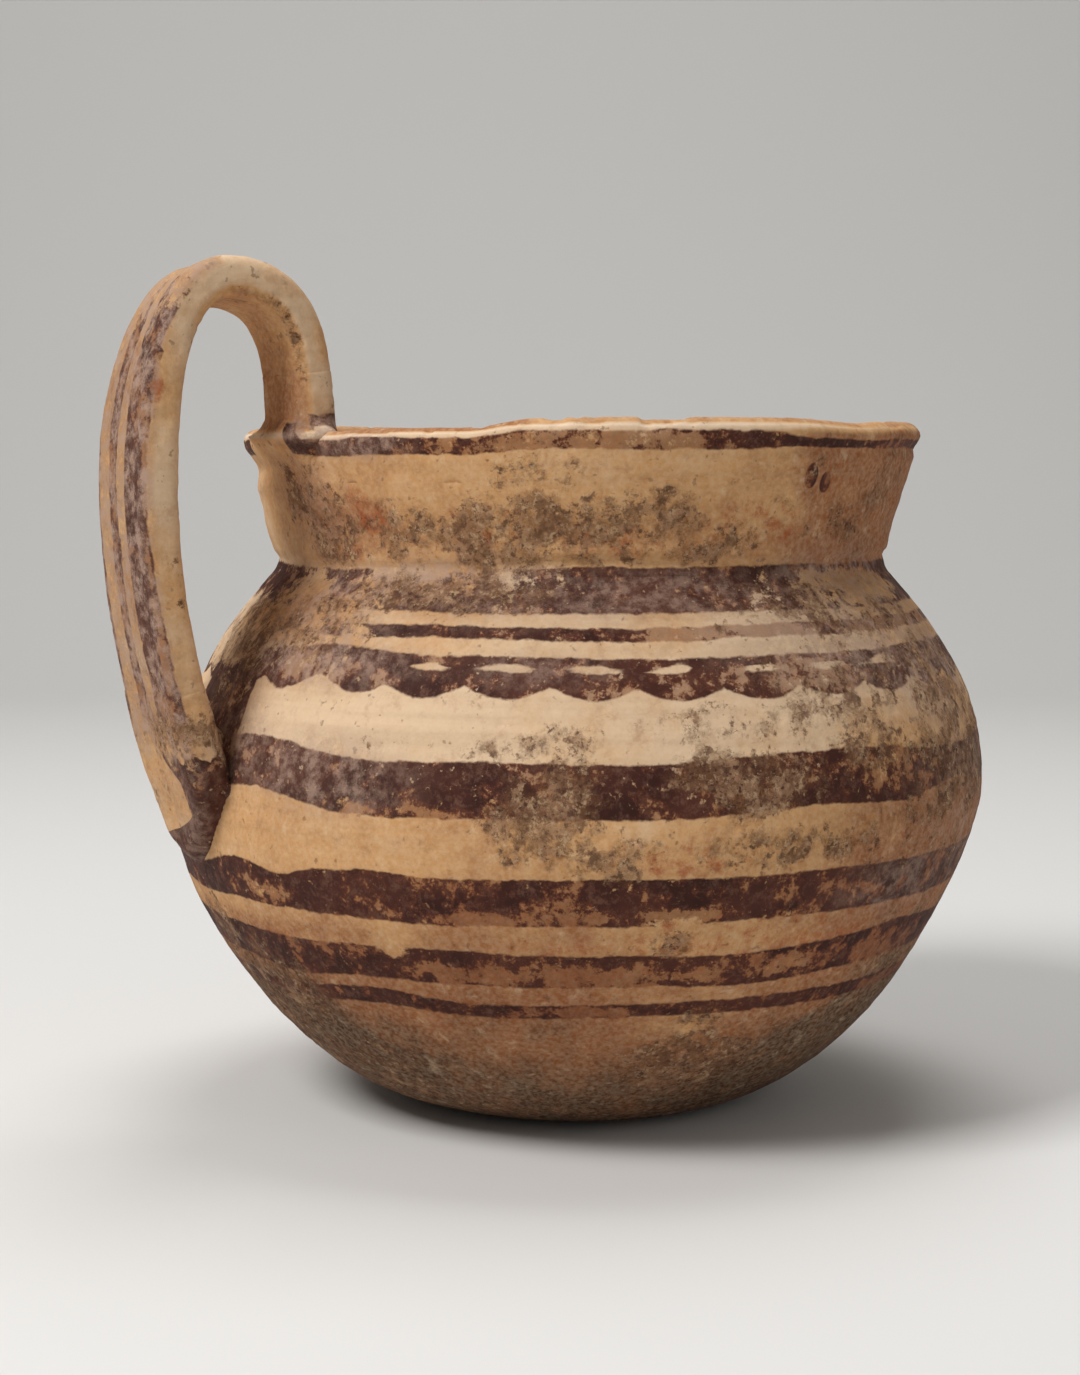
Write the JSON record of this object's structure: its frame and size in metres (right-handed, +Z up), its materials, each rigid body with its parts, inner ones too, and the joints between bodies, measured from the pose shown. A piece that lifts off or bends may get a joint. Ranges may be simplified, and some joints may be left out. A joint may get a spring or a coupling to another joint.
{
  "type": "dipper jug",
  "caption": "Round-bellied pottery jug with a flared collar, a small flat base and a strap handle that swings high above the rim, painted with dark bands.",
  "frame": {"origin": "centre of the flat base, on the pot's axis, in the plane it rests on", "axes": "+Z up; the handle stands on the -X side, in the XZ plane; +Y completes the frame and is the shortest extent"},
  "size_m": [0.188, 0.1708, 0.1715],
  "materials": {
    "base_clay": "matt fired clay, brown",
    "bottom_clay": "matt fired clay, brown",
    "lower_wall_clay": "matt fired clay with dark painted bands",
    "belly_clay": "cream slip with dark painted bands",
    "shoulder_clay": "cream slip with dark painted bands",
    "neck_clay": "dark painted bands over cream slip, worn",
    "collar_clay": "matt cream clay, stained",
    "rim_clay": "dark painted lip, worn",
    "strap_clay": "matt beige clay with brown stripes",
    "top_luting_clay": "dark painted clay, worn",
    "foot_luting_clay": "dark painted clay, worn"
  },
  "bodies": {
    "root": {"base": "base_clay", "bottom_ring": "bottom_clay", "lower_wall": "lower_wall_clay", "belly_wall": "belly_clay", "shoulder": "shoulder_clay", "neck_ring": "neck_clay", "collar": "collar_clay", "rim_lip": "rim_clay", "handle_strap": "strap_clay", "handle_top_luting": "top_luting_clay", "handle_foot_luting": "foot_luting_clay"}
  },
  "joints": []
}
